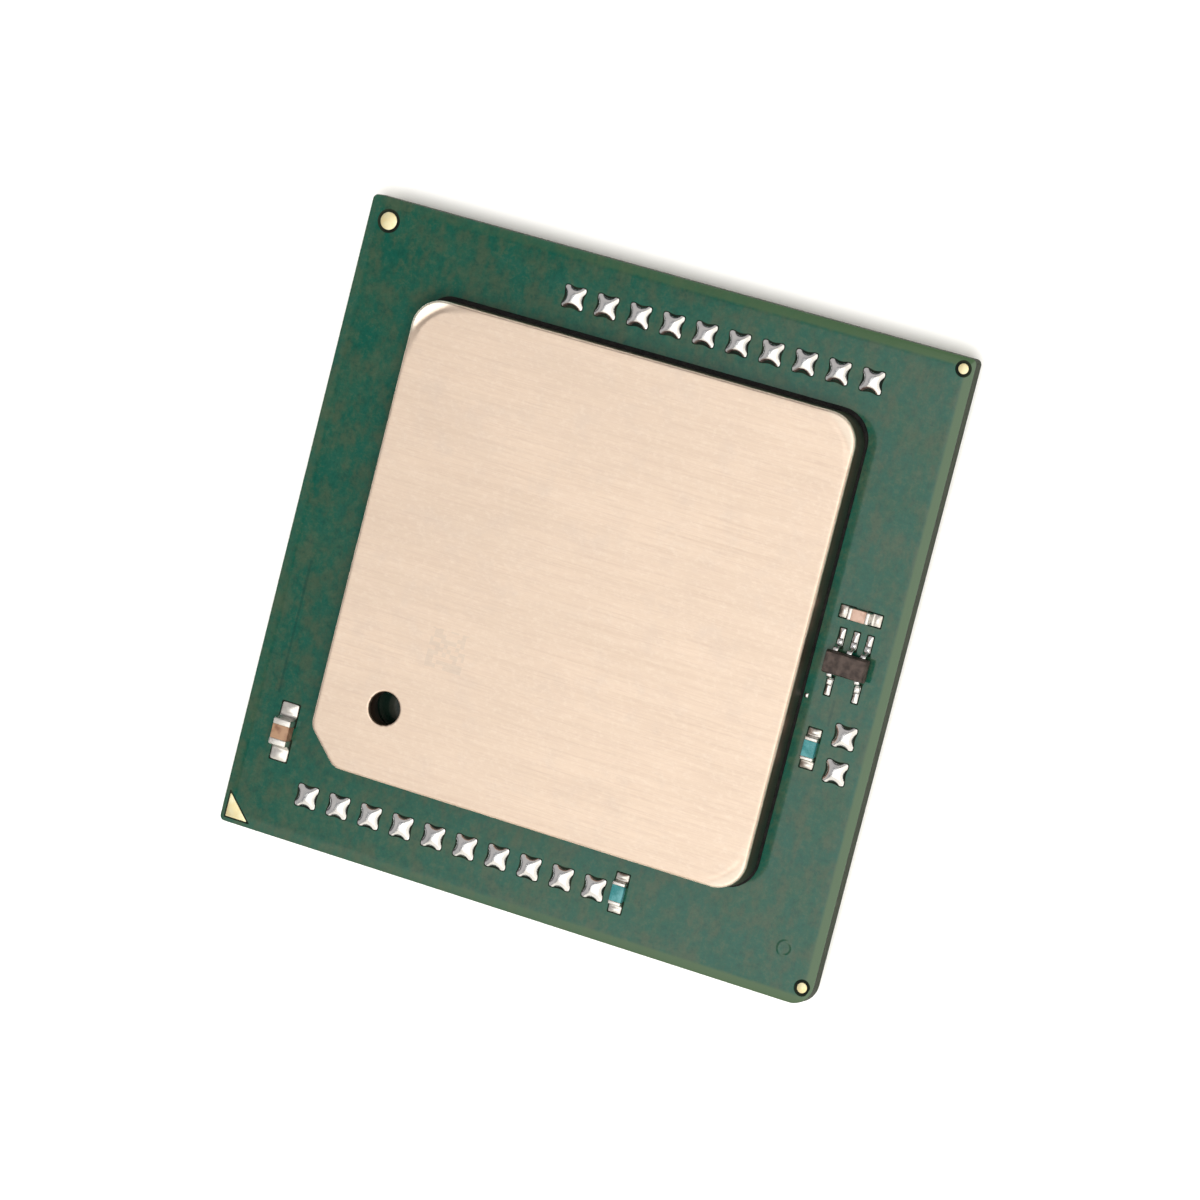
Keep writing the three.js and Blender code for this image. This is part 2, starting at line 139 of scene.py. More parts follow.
class Nodes:
    """A node tree, with short calls for the nodes that the finishes and the world use."""

    def __init__(self, tree):
        self.tree = tree

    def add(self, kind, **settings):
        node = self.tree.nodes.new(kind)
        for key, value in settings.items():
            setattr(node, key, value)
        return node

    def feed(self, socket, value):
        if isinstance(value, bpy.types.NodeSocket):
            self.tree.links.new(value, socket)
        else:
            socket.default_value = value

    def vector(self, operation, first, second, output="Vector"):
        node = self.add("ShaderNodeVectorMath", operation=operation)
        self.feed(node.inputs[0], first)
        node.inputs[1].default_value = second
        return node.outputs[output]

    def dot(self, vector, direction):
        return self.vector("DOT_PRODUCT", vector, direction, "Value")

    def math(self, operation, first, second=0.0):
        node = self.add("ShaderNodeMath", operation=operation)
        self.feed(node.inputs[0], first)
        self.feed(node.inputs[1], second)
        return node.outputs["Value"]

    def range(self, value, low, high, to_low=0.0, to_high=1.0):
        """value taken smoothly from low..high to to_low..to_high."""
        node = self.add("ShaderNodeMapRange", interpolation_type="SMOOTHSTEP")
        self.feed(node.inputs["Value"], value)
        node.inputs["From Min"].default_value = low
        node.inputs["From Max"].default_value = high
        node.inputs["To Min"].default_value = to_low
        node.inputs["To Max"].default_value = to_high
        return node.outputs["Result"]

    def blend(self, amount, first, second):
        node = self.add("ShaderNodeMix", data_type="RGBA")
        self.feed(node.inputs["Factor"], amount)
        self.feed(node.inputs["A"], rgba(first))
        self.feed(node.inputs["B"], rgba(second))
        return node.outputs["Result"]

    def veil(self, tone, pattern, low, high, strength, colour):
        """tone, covered by a colour as a pattern goes from low to high, up to a strength."""
        return self.blend(self.range(pattern, low, high, 0.0, strength), tone, colour)


class Shader(Nodes):
    """A material, with its pattern laid out in millimetres in the part's own frame."""

    def __init__(self, name, roughness=0.5, metallic=0.0):
        self.material = bpy.data.materials.new(name)
        self.material.use_nodes = True
        super().__init__(self.material.node_tree)
        self.surface = self.tree.nodes["Principled BSDF"]
        self.surface.inputs["Roughness"].default_value = roughness
        self.surface.inputs["Metallic"].default_value = metallic
        coordinates = self.add("ShaderNodeTexCoord").outputs["Object"]
        self.position = self.vector("MULTIPLY", coordinates, (1 / MM, 1 / MM, 1 / MM))

    def set(self, name, value):
        self.feed(self.surface.inputs[name], value)

    def axis(self, letter):
        node = self.add("ShaderNodeSeparateXYZ")
        self.feed(node.inputs[0], self.position)
        return node.outputs[letter]

    def away(self, letter, place):
        """How far a point lies from a place on one axis."""
        return self.math("ABSOLUTE", self.math("SUBTRACT", self.axis(letter), place))

    def noise(self, scale, detail=3.0, roughness=0.5, stretch=(1, 1, 1), offset=(0, 0, 0)):
        """Noise with about scale blobs to the millimetre; a small stretch makes it long."""
        node = self.add("ShaderNodeTexNoise")
        place = self.vector("ADD", self.vector("MULTIPLY", self.position, stretch), offset)
        self.feed(node.inputs["Vector"], place)
        node.inputs["Scale"].default_value = scale
        node.inputs["Detail"].default_value = detail
        node.inputs["Roughness"].default_value = roughness
        return node.outputs["Fac"]

    def ring(self, x, y, radius, width):
        """1 on a circle about a point on the board, falling to 0 a width away from it."""
        dx = self.math("SUBTRACT", self.axis("X"), x)
        dy = self.math("SUBTRACT", self.axis("Y"), y)
        squared = self.math("ADD", self.math("MULTIPLY", dx, dx), self.math("MULTIPLY", dy, dy))
        away = self.math("ABSOLUTE", self.math("SUBTRACT", self.math("SQRT", squared), radius))
        return self.range(away, 0.0, width, 1.0, 0.0)

    def wave(self, letter):
        """The over-and-under of the glass cloth along one axis, with two threads to a wave."""
        threads_per_mm = 2.0
        angle = self.math("MULTIPLY", self.axis(letter), math.tau * threads_per_mm / 2)
        return self.math("SINE", angle)

    def bump(self, height, depth_mm, below=None):
        node = self.add("ShaderNodeBump")
        node.inputs["Strength"].default_value = 1.0
        node.inputs["Distance"].default_value = depth_mm * MM
        self.feed(node.inputs["Height"], height)
        if below is not None:
            self.feed(node.inputs["Normal"], below)
        self.set("Normal", node.outputs["Normal"])
        return node.outputs["Normal"]


def rgba(colour):
    if isinstance(colour, bpy.types.NodeSocket):
        return colour
    return (*colour, 1.0)


# ----------------------------------------------------------------------------- materials


def brushed_nickel():
    """Warm nickel plate, brushed along X, with faint scratches, a painted highlight on the pressed corners
    and painted shade on the walls.
    """
    s = Shader("brushed_nickel", metallic=1.0)
    blotches = s.noise(0.16, 4.0, 0.55, stretch=(0.6, 1.4, 1))
    smudges = s.noise(0.45, 5.0, 0.6, offset=(2, 6, 0))
    bands = s.noise(1.0, 3.0, 0.6, stretch=(0.05, 1.1, 1))
    streaks = s.noise(1.0, 4.0, 0.65, stretch=(0.14, 5.5, 1), offset=(7, 3, 0))
    hairs = s.noise(1.0, 2.0, 0.5, stretch=(0.5, 16, 1), offset=(1, 9, 0))
    specks = s.noise(3.2, 4.0, 0.7, stretch=(0.8, 1.2, 1), offset=(5, 2, 0))
    tone = s.blend(s.range(blotches, 0.3, 0.7), (0.845, 0.685, 0.56), (0.915, 0.745, 0.612))
    tone = s.veil(tone, smudges, 0.48, 0.75, 0.45, (0.79, 0.66, 0.57))
    tone = s.veil(tone, bands, 0.35, 0.75, 0.2, (0.82, 0.65, 0.53))
    tone = s.veil(tone, streaks, 0.4, 0.75, 0.42, (0.77, 0.61, 0.5))
    tone = s.veil(tone, hairs, 0.45, 0.75, 0.4, (0.77, 0.6, 0.5))
    tone = s.veil(tone, specks, 0.45, 0.75, 0.4, (0.98, 0.84, 0.72))
    tone = s.blend(s.math("MULTIPLY", etched_mark(s), 0.18), tone, (0.55, 0.5, 0.45))
    # Painted highlight: the pressed corners are paler, as if catching the light; coined also makes them
    # smoother.
    coined = s.add("ShaderNodeAttribute", attribute_name="coined").outputs["Fac"]
    tone = s.blend(coined, tone, (0.99, 0.93, 0.8))
    # Painted shade: the walls get a dark colour, darkest low down, standing in for the dark reflections
    # there.
    height = s.axis("Z")
    wall_shade = s.blend(s.range(height, lid_top - 1.6, lid_top - 0.5), (0.15, 0.125, 0.11), (0.27, 0.165, 0.13))
    wall = s.range(height, lid_top - 0.36, lid_top - 0.2, 1.0, 0.0)
    s.set("Base Color", s.blend(wall, tone, wall_shade))
    rough = s.math("ADD", s.range(streaks, 0.3, 0.8, 0.0, 0.08), s.range(blotches, 0.3, 0.7, 0.36, 0.4))
    burnish = s.range(coined, 0.0, 1.0, 1.0, 0.7)
    s.set("Roughness", s.math("MULTIPLY", rough, burnish))
    under = s.bump(streaks, 0.003)
    s.bump(hairs, 0.0015, under)
    return s.material


def etched_mark(s):
    """A small square patch of faint dots on the lid: a plain texture that spells nothing."""
    cells_per_mm = 3.6
    x, y = ETCHED_MARK
    out = s.math("MAXIMUM", s.away("X", x), s.away("Y", y))
    inside = s.math("LESS_THAN", out, ETCHED_MARK_SIZE / 2)
    cells = s.add("ShaderNodeTexVoronoi", feature="F1", distance="CHEBYCHEV")
    s.feed(cells.inputs["Vector"], s.position)
    cells.inputs["Scale"].default_value = cells_per_mm
    cells.inputs["Randomness"].default_value = 0.0
    chance = s.add("ShaderNodeSeparateColor")
    s.feed(chance.inputs[0], cells.outputs["Color"])
    return s.math("MULTIPLY", inside, s.math("GREATER_THAN", chance.outputs[0], 0.5))


def solder_mask():
    """Green mask: mottled over the copper and glass beneath, yellower where the copper stops.

    Its edge strip is paler towards +X: painted light, as if lit more on that side. Painted shade
    darkens the middle of the sheet on top, where the vent shows it, and the middle of the sheet
    underneath, which has the same finish.
    """
    s = Shader("solder_mask_green")
    clouds = s.noise(0.3, 3.0, 0.6)
    patches = s.noise(0.7, 5.0, 0.65, stretch=(1.3, 0.8, 1), offset=(12, 4, 0))
    flecks = s.noise(2.4, 4.0, 0.75, offset=(3, 8, 0))
    tone = s.blend(s.range(clouds, 0.35, 0.65), (0.002, 0.056, 0.037), (0.008, 0.058, 0.035))
    tone = s.veil(tone, patches, 0.42, 0.66, 0.8, (0.032, 0.056, 0.032))
    tone = s.veil(tone, patches, 0.5, 0.32, 0.6, (0.0, 0.06, 0.042))
    tone = s.veil(tone, flecks, 0.48, 0.7, 0.6, (0.036, 0.072, 0.042))
    tone = s.veil(tone, flecks, 0.5, 0.3, 0.6, (0.0, 0.036, 0.026))
    out = s.math("MAXIMUM", s.away("X", 0.0), s.away("Y", 0.0))
    board_edge = board_half / MM
    strip_start = board_edge - EDGE_STRIP
    strip = s.range(out, strip_start - 0.1, strip_start + 0.15)
    # Painted light: the yellow edge strip is real, but thin makes it paler towards +X, as if lit more from
    # that side.
    thin = s.range(s.axis("X"), -strip_start, strip_start, 0.1, 1.0)
    tone = s.blend(s.math("MULTIPLY", strip, thin), tone, (0.044, 0.084, 0.04))
    # Painted shade: the mask under the lid, which the vent shows, is darkened as if in the lid's shade; the
    # sheet underneath gets it too.
    cavity_edge = LID_CAVITY / 2
    tone = s.veil(tone, out, cavity_edge + 0.7, cavity_edge + 0.4, 0.9, (0.003, 0.006, 0.005))
    for x, south, north in MASK_TRACES:
        tone = s.blend(s.math("MULTIPLY", trace(s, x, south, north), 0.45), tone, (0.0, 0.03, 0.022))
    s.set("Base Color", tone)
    s.set("Roughness", s.range(clouds, 0.3, 0.7, 0.11, 0.15))
    s.set("Specular IOR Level", 0.47)
    weave = s.math("MULTIPLY", *(s.wave(axis) for axis in ("X", "Y")))
    under = s.bump(weave, 0.0002)
    under = s.bump(s.ring(*RING_MARK, RING_MARK_RADIUS, 0.16), 0.012, under)
    under = s.bump(s.range(out, strip_start - 0.2, board_edge + 0.3, 1.0, 0.0), 0.06, under)
    s.bump(s.noise(1.5, 3.0), 0.0012, under)
    return s.material


def trace(s, x, south, north):
    """1 along a narrow copper trace that runs north and south under the mask."""
    across = s.range(s.away("X", x), 0.04, 0.13, 1.0, 0.0)
    from_end = s.math("GREATER_THAN", s.axis("Y"), south)
    to_end = s.math("LESS_THAN", s.axis("Y"), north)
    return s.math("MULTIPLY", across, s.math("MULTIPLY", from_end, to_end))


def laminate(name, dark, light):
    """Resin and glass at the board's cut edge: thin level layers with a ragged tone."""
    s = Shader(name, roughness=0.6)
    s.set("Specular IOR Level", 0.12)
    layers = s.noise(1.0, 2.0, 0.5, stretch=(0.8, 0.8, 14))
    grain = s.noise(6.0, 3.0)
    tone = s.blend(s.range(layers, 0.35, 0.65), dark, light)
    tone = s.veil(tone, grain, 0.4, 0.8, 0.4, dark)
    s.set("Base Color", tone)
    under = s.bump(layers, 0.02)
    s.bump(grain, 0.01, under)
    return s.material


def plated(name, dark, light, roughness):
    """A bare plated or soldered metal: small changes of tone, and a fine grain."""
    s = Shader(name, metallic=1.0)
    cloud = s.noise(1.6, 3.0)
    grain = s.noise(14.0, 3.0, 0.6)
    s.set("Base Color", s.blend(s.range(cloud, 0.3, 0.7), dark, light))
    s.set("Roughness", s.range(grain, 0.3, 0.7, roughness * 0.8, roughness * 1.25))
    s.bump(grain, 0.004)
    return s.material


def fired(name, dark, light, roughness):
    """A chip part's ceramic body: speckled, with a faintly uneven surface."""
    s = Shader(name)
    speckle = s.noise(11.0, 3.0, 0.6)
    cloud = s.noise(1.8, 2.0)
    tone = s.blend(s.range(cloud, 0.35, 0.65), dark, light)
    tone = s.veil(tone, speckle, 0.5, 0.8, 0.5, light)
    s.set("Base Color", tone)
    s.set("Roughness", s.range(speckle, 0.3, 0.7, roughness, roughness + 0.12))
    s.bump(speckle, 0.006)
    return s.material


def floor_finish():
    """A plain pale floor with a trace of unevenness."""
    s = Shader("pale_floor", roughness=0.9)
    s.set("Base Color", s.blend(s.noise(0.02, 2.0), (0.95, 0.95, 0.95), (0.97, 0.97, 0.965)))
    s.set("Specular IOR Level", 0.1)
    return s.material


FINISHES = {
    "nickel_plate": brushed_nickel(),
    "solder_mask": solder_mask(),
    "laminate": laminate("laminate_core", (0.01, 0.017, 0.007), (0.026, 0.036, 0.016)),
    "build_up": laminate("laminate_build_up", (0.004, 0.007, 0.005), (0.012, 0.017, 0.01)),
    "gold_plate": plated("gold_plate", (0.97, 0.85, 0.5), (1.0, 0.94, 0.66), 0.5),
    "pin_gold": plated("pin_gold", (0.85, 0.62, 0.28), (0.95, 0.74, 0.38), 0.22),
    "tin_solder": plated("tin_solder", (0.8, 0.8, 0.82), (0.92, 0.92, 0.93), 0.16),
    "tin_plate": plated("tin_plate", (0.78, 0.75, 0.72), (0.9, 0.88, 0.85), 0.34),
    "tan_ceramic": fired("tan_ceramic", (0.17, 0.085, 0.05), (0.3, 0.18, 0.11), 0.38),
    "pale_ceramic": fired("pale_ceramic", (0.3, 0.18, 0.13), (0.46, 0.32, 0.26), 0.35),
    "teal_glaze": fired("teal_glaze", (0.02, 0.15, 0.16), (0.07, 0.24, 0.26), 0.22),
    "black_resin": fired("black_resin", (0.022, 0.014, 0.012), (0.06, 0.042, 0.036), 0.5),
    "sealant": fired("sealant_silicone", (0.002, 0.002, 0.003), (0.008, 0.007, 0.007), 0.85),
    "thermal_compound": fired("thermal_compound", (0.3, 0.3, 0.31), (0.42, 0.42, 0.43), 0.7),
    "silicon": fired("silicon", (0.08, 0.09, 0.11), (0.12, 0.13, 0.15), 0.15),
    "underfill_resin": fired("underfill_resin", (0.07, 0.035, 0.015), (0.14, 0.08, 0.03), 0.35),
}


# ---------------------------------------------------------------------------- mesh tools


def make_piece(name, bm, finishes, replaced=()):
    """Turns a bmesh in millimetres into a piece that rides on the package."""
    bmesh.ops.recalc_face_normals(bm, faces=bm.faces)
    bmesh.ops.scale(bm, vec=(MM, MM, MM), verts=bm.verts)
    mesh = bpy.data.meshes.new(name)
    bm.to_mesh(mesh)
    bm.free()
    for finish in finishes:
        mesh.materials.append(FINISHES[finish])
    mesh.polygons.foreach_set("use_smooth", [True] * len(mesh.polygons))
    piece = bpy.data.objects.new(name, mesh)
    bpy.context.scene.collection.objects.link(piece)
    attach(piece, "root")
    if replaced:
        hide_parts(*replaced)
    return piece


def sharpen(piece, angle=30):
    """Keeps edges crisp where faces meet at more than an angle."""
    bm = bmesh.new()
    bm.from_mesh(piece.data)
    for edge in bm.edges:
        if len(edge.link_faces) == 2 and edge.calc_face_angle() > math.radians(angle):
            edge.smooth = False
    bm.to_mesh(piece.data)
    bm.free()


def arc(cx, cy, radius, start, end, steps):
    angles = (math.radians(start + (end - start) * k / steps) for k in range(steps + 1))
    return [(cx + radius * math.cos(a), cy + radius * math.sin(a)) for a in angles]


def rounded_rectangle(cx, cy, half_x, half_y, radii, steps=8):
    """Points anticlockwise, with a radius each for the SW, SE, NE and NW corners."""
    sw, se, ne, nw = radii
    return (
        arc(cx - half_x + sw, cy - half_y + sw, sw, 180, 270, steps)
        + arc(cx + half_x - se, cy - half_y + se, se, 270, 360, steps)
        + arc(cx + half_x - ne, cy + half_y - ne, ne, 0, 90, steps)
        + arc(cx - half_x + nw, cy + half_y - nw, nw, 90, 180, steps)
    )


def add_loop(bm, points, z):
    """A closed ring of vertices. z is one height, or a function of x and y."""
    level = z if callable(z) else lambda x, y: z
    return [bm.verts.new((x, y, level(x, y))) for x, y in points]


def bridge(bm, first, second):
    """Quads between two rings of the same length."""
    count = len(first)
    for k in range(count):
        following = (k + 1) % count
        bm.faces.new((first[k], first[following], second[following], second[k]))


def bridge_all(bm, rings):
    for first, second in zip(rings, rings[1:]):
        bridge(bm, first, second)


def fill(bm, *loops):
    """Flat faces between an outer ring and any rings inside it."""
    edges = []
    for loop in loops:
        for k, vertex in enumerate(loop):
            pair = (vertex, loop[(k + 1) % len(loop)])
            edges.append(bm.edges.get(pair) or bm.edges.new(pair))
    bmesh.ops.triangle_fill(bm, use_beauty=True, edges=edges)


def seen_from(x, y, ring, radius):
    """A circle's points in the directions of a ring's vertices, as seen from its centre."""
    angles = [math.atan2(vertex.co.y - y, vertex.co.x - x) for vertex in ring]
    return [(x + radius * math.cos(a), y + radius * math.sin(a)) for a in angles]


def drawn_in(u, v, pinch):
    """Where a point of a square goes as its corners are rounded and its sides drawn in."""
    corner = 1 - 0.09 * u**4 * v**4
    x = u * corner * (1 - pinch * notch(v) * u * u)
    y = v * corner * (1 - pinch * notch(u) * v * v)
    return x, y


def notch(t):
    """A dip in the middle of a side: 1 at t = 0, and 0 beyond its half-width."""
    half_width = 0.78
    return max(1 - (t / half_width) ** 2, 0.0) ** 2


def height_field(bm, place, half_x, half_y, base, height, steps, material=0, pinch=0.0):
    """A closed lump on a rectangle: height(u, v) over u and v from -1 to 1, above a base.

    pinch: how far the middle of each side is drawn in, as a share of the half-width.
    """
    columns, rows = steps
    grid = []
    for j in range(rows + 1):
        v = -1 + 2 * j / rows
        line = []
        for i in range(columns + 1):
            u = -1 + 2 * i / columns
            x, y = drawn_in(u, v, pinch)
            line.append(bm.verts.new(place @ Vector((half_x * x, half_y * y, height(u, v)))))
        grid.append(line)
    faces = []
    for j in range(rows):
        near, far = grid[j], grid[j + 1]
        for i in range(columns):
            faces.append(bm.faces.new((near[i], near[i + 1], far[i + 1], far[i])))
    rim = grid[0] + [line[-1] for line in grid[1:]] + grid[-1][-2::-1] + [line[0] for line in grid[-2:0:-1]]
    up = place.to_3x3() @ Vector((0, 0, 1))
    foot = []
    for vertex in rim:
        local = place.inverted() @ vertex.co
        foot.append(bm.verts.new(vertex.co - up * (local.z - base)))
    for k in range(len(rim)):
        following = (k + 1) % len(rim)
        faces.append(bm.faces.new((rim[k], foot[k], foot[following], rim[following])))
    faces.append(bm.faces.new(foot[::-1]))
    for face in faces:
        face.material_index = material


def block(bm, place, low, high, rounding, segments=3, material=0):
    """A box with rounded edges between two corners."""
    centre = (Vector(low) + Vector(high)) / 2
    size = Vector(high) - Vector(low)
    matrix = place @ Matrix.Translation(centre) @ Matrix.Diagonal((*size, 1))
    made = bmesh.ops.create_cube(bm, size=1.0, matrix=matrix)
    edges = list(dict.fromkeys(edge for vertex in made["verts"] for edge in vertex.link_edges))
    shape = {"offset": rounding, "segments": segments, "profile": 0.5, "affect": "EDGES"}
    rounded = bmesh.ops.bevel(bm, geom=edges, **shape)
    for vertex in rounded["verts"]:
        for face in vertex.link_faces:
            face.material_index = material


# -------------------------------------------------------------------------- heat spreader


# The insets of the rings of vertices on the lid's face, close together over the coined rim.
TOP_RINGS = [0.3 + 0.09 * k for k in range(18)] + [2.0, 2.3, 2.7]


def lid_ring(inset):
    """The lid's outline at an inset from its edge, always with the same number of points."""
    half = lid_half - inset
    radius = max(LID_CORNER_RADIUS - inset, 0.4)
    chamfer = max(LID_CHAMFER - inset * (2 - math.sqrt(2)), 0.5)
    rounding = min(LID_CHAMFER_ROUNDING, chamfer / 2)
    slant = rounding * math.sqrt(0.5)
    corner = -half + chamfer
    points = quadratic((-half, corner + rounding), (-half, corner), (-half + slant, corner - slant))
    points += quadratic((corner - slant, -half + slant), (corner, -half), (corner + rounding, -half))
    points += along((corner + rounding, -half), (half - radius, -half))
    points += arc(half - radius, -half + radius, radius, 270, 360, 14)
    points += along((half, -half + radius), (half, half - radius))
    points += arc(half - radius, half - radius, radius, 0, 90, 14)
    points += along((half - radius, half), (-half + radius, half))
    points += arc(-half + radius, half - radius, radius, 90, 180, 14)
    points += along((-half, half - radius), (-half, corner + rounding))
    return points


def quadratic(start, control, end, steps=5):
    points = []
    for k in range(steps + 1):
        t = k / steps
        weights = ((1 - t) ** 2, 2 * t * (1 - t), t**2)
        points.append(tuple(sum(w * p[i] for w, p in zip(weights, (start, control, end))) for i in (0, 1)))
    return points


def along(start, end, steps=22):
    """Points between two ends, without the ends, closer together near them."""
    points = []
    for k in range(1, steps):
        t = (1 - math.cos(math.pi * k / steps)) / 2
        points.append((start[0] + (end[0] - start[0]) * t, start[1] + (end[1] - start[1]) * t))
    return points


def beyond_coin_arc(x, y):
    """How far a point lies beyond the arc that a pressed corner starts at, or 0."""
    if x < 0 and y < 0:
        return 0.0
    reach_x = max(abs(x) - (lid_half - COIN_CENTRE), 0.0)
    reach_y = max(abs(y) - (lid_half - COIN_CENTRE), 0.0)
    return max(math.hypot(reach_x, reach_y) - COIN_RADIUS, 0.0)


def coin_drop(x, y):
    """How far the lid's face is pressed down at a point."""
    beyond = beyond_coin_arc(x, y)
    rim_distance = COIN_CENTRE * math.sqrt(2) - LID_CORNER_RADIUS * (math.sqrt(2) - 1) - COIN_RADIUS
    down = smooth(beyond / COIN_STEP)
    back_up = max(1 - max(beyond - COIN_STEP, 0.0) / (rim_distance - COIN_STEP), 0.0)
    depth = COIN_DEPTH if x < 0 else COIN_DEPTH_ELSEWHERE
    return depth * down * back_up


def smooth(t):
    """0 to 1 as t goes from 0 to 1, with a level start and end."""
    t = min(max(t, 0.0), 1.0)
    return t * t * (3 - 2 * t)


def build_heat_spreader():
    """The lid, as one closed shell: top, walls, foot, cavity and vent hole."""
    bottom = lid_low.z / MM
    ceiling = lid_top - LID_PLATE
    bm = bmesh.new()
    outside = lid_outside(bm, bottom)
    vent_end = lid_vent(bm, outside[-1], ceiling)
    half = LID_CAVITY / 2
    cavity = rounded_rectangle(0, 0, half, half, [LID_CAVITY_RADIUS] * 4)
    roof = add_loop(bm, cavity, ceiling)
    mouth = add_loop(bm, cavity, bottom)
    bridge(bm, roof, mouth)
    fill(bm, roof, vent_end)
    fill(bm, outside[0], mouth)
    mark_coined(bm)
    bmesh.ops.translate(bm, vec=(0, lid_centre_y, 0), verts=bm.verts)
    sharpen(make_piece("heat_spreader_shell", bm, ["nickel_plate"], ["heat_spreader"]), 40)


def lid_outside(bm, bottom):
    """Rings up the wall, over the rounded edge and across the coined face."""

    def pressed(height):
        return lambda x, y: height - coin_drop(x, y)

    edge_steps = 8
    rings = [add_loop(bm, lid_ring(LID_FOOT_RADIUS), bottom)]
    rings.append(add_loop(bm, lid_ring(0), bottom + LID_FOOT_RADIUS))
    for k in range(edge_steps + 1):
        turn = math.pi / 2 * k / edge_steps
        inset = LID_EDGE_RADIUS * (1 - math.cos(turn))
        height = lid_top - LID_EDGE_RADIUS * (1 - math.sin(turn))
        rings.append(add_loop(bm, lid_ring(inset), pressed(height)))
    for inset in TOP_RINGS:
        rings.append(add_loop(bm, lid_ring(inset), pressed(lid_top)))
    bridge_all(bm, rings)
    return rings


def lid_vent(bm, around, ceiling):
    """The vent hole, from a ring of the lid's face down to the roof of the cavity."""

    def circle(radius):
        return seen_from(-VENT_FROM_CENTRE, -VENT_FROM_CENTRE, around, radius)

    lip_steps = 3
    rings = [around]
    for margin in (0.25, 0.06):
        rings.append(add_loop(bm, circle(VENT_RADIUS + VENT_LIP + margin), lid_top))
    for k in range(lip_steps + 1):
        turn = math.pi / 2 * k / lip_steps
        radius = VENT_RADIUS + VENT_LIP * (1 - math.sin(turn))
        rings.append(add_loop(bm, circle(radius), lid_top - VENT_LIP * (1 - math.cos(turn))))
    rings.append(add_loop(bm, circle(VENT_RADIUS), ceiling))
    bridge_all(bm, rings)
    return rings[-1]


def mark_coined(bm):
    """Notes where the face is pressed down, for the finish: a painted highlight there, and a smoother
    surface.
    """
    coined = bm.verts.layers.float.new("coined")
    edge_of_face = lid_top - 0.6
    for vertex in bm.verts:
        x, y, z = vertex.co
        beyond = beyond_coin_arc(x, y) if z > edge_of_face else 0.0
        share = 1.0 if x < 0 else 0.35
        vertex[coined] = share * smooth((beyond - COIN_STEP) / 0.3)


def build_shade_bead():
    """A black bead along the lid's foot, shaped like squeezed-out sealant: painted shade of the lid, most
    of it on the north side.
    """
    bottom = board_top / MM
    under_lid = -0.1
    # How high each ring is, and how far out it lies: on three sides, then to the north.
    levels = (
        (0.0, BEAD_WIDTH, BEAD_NORTH),
        (0.07, BEAD_WIDTH * 0.9, BEAD_NORTH * 0.92),
        (0.15, BEAD_WIDTH * 0.5, BEAD_NORTH * 0.55),
        (BEAD_HEIGHT, under_lid, under_lid),
    )
    bm = bmesh.new()
    rings = []
    for rise, out, out_north in levels:
        half_y = lid_half + (out + out_north) / 2
        middle = lid_centre_y + (out_north - out) / 2
        radius = LID_CORNER_RADIUS + out
        radii = (radius + 0.9, radius, radius, radius - 0.3)
        outline = rounded_rectangle(0, middle, lid_half + out, half_y, radii)
        rings.append(add_loop(bm, outline, bottom + rise))
    half = lid_half - 0.3
    inner = rounded_rectangle(0, lid_centre_y, half, half, [LID_CORNER_RADIUS] * 4)
    rings.append(add_loop(bm, inner, bottom + BEAD_HEIGHT))
    rings.append(add_loop(bm, inner, bottom))
    bridge_all(bm, rings + rings[:1])
    make_piece("lid_shade_bead", bm, ["sealant"])


# ---------------------------------------------------------------------------------- board


def board_outline(inset):
    half = board_half / MM - inset
    sharp = max(BOARD_CORNER_RADIUS - inset, 0.1)
    round_corner = BOARD_ROUND_CORNER_RADIUS - inset
    return rounded_rectangle(0, 0, half, half, (sharp, round_corner, sharp, sharp))


def rectangle_around(low, high, gap):
    """An opening's outline around a box, as a function of how much wider it is cut."""
    cx, cy = (low.x + high.x) / 2 / MM, (low.y + high.y) / 2 / MM
    half_x, half_y = (high.x - low.x) / 2 / MM, (high.y - low.y) / 2 / MM

    def outline(wider):
        out = gap + wider
        return rounded_rectangle(cx, cy, half_x + out, half_y + out, [out] * 4, 4)

    return outline


def star_around(centre, pinch):
    """A test pad's opening: a square with its sides drawn in, like the solder's own outline."""
    steps = 12

    def outline(wider):
        half = PAD_SIZE / 2 + MASK_GAP + wider
        points = []
        for c, s in ((1, 0), (0, 1), (-1, 0), (0, -1)):
            for k in range(steps):
                x, y = drawn_in(1, -1 + 2 * k / steps, pinch * 0.6)
                across, up = half * (c * x - s * y), half * (s * x + c * y)
                points.append((centre.x + across, centre.y + up))
        return points

    return outline


def pad_places():
    """The centre of every test pad, with the CAD node that it belongs to."""
    places = []
    for node, count in PAD_COUNTS.items():
        low, high = boxes[node]
        centre = (low + high) / 2 / MM
        sideways = high.x - low.x > high.y - low.y
        for k in range(count):
            offset = (k - (count - 1) / 2) * PAD_PITCH
            step = Vector((offset, 0, 0)) if sideways else Vector((0, offset, 0))
            places.append((node, centre + step))
    return places


def mask_openings():
    """Every hole in the top mask: round each pad, land and gold mark."""
    openings = []
    for node, centre in pad_places():
        openings.append(star_around(centre, PAD_PINCH[node]))
    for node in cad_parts:
        if "_terminal_" in node:
            openings.append(rectangle_around(*boxes[node], MASK_GAP))
        if node.startswith("five_lead_chip_lead"):
            openings.append(rectangle_around(*lead_land_box(node), MASK_GAP))
        if node.startswith("fiducial"):
            openings.append(grown(circle(node, 40), FIDUCIAL_RING))
    openings.append(grown(triangle, MARKER_RING))
    return openings


def grown(outline, gap):
    """The same outline, drawn wider all round by a gap."""
    return lambda wider: outline(gap + wider)


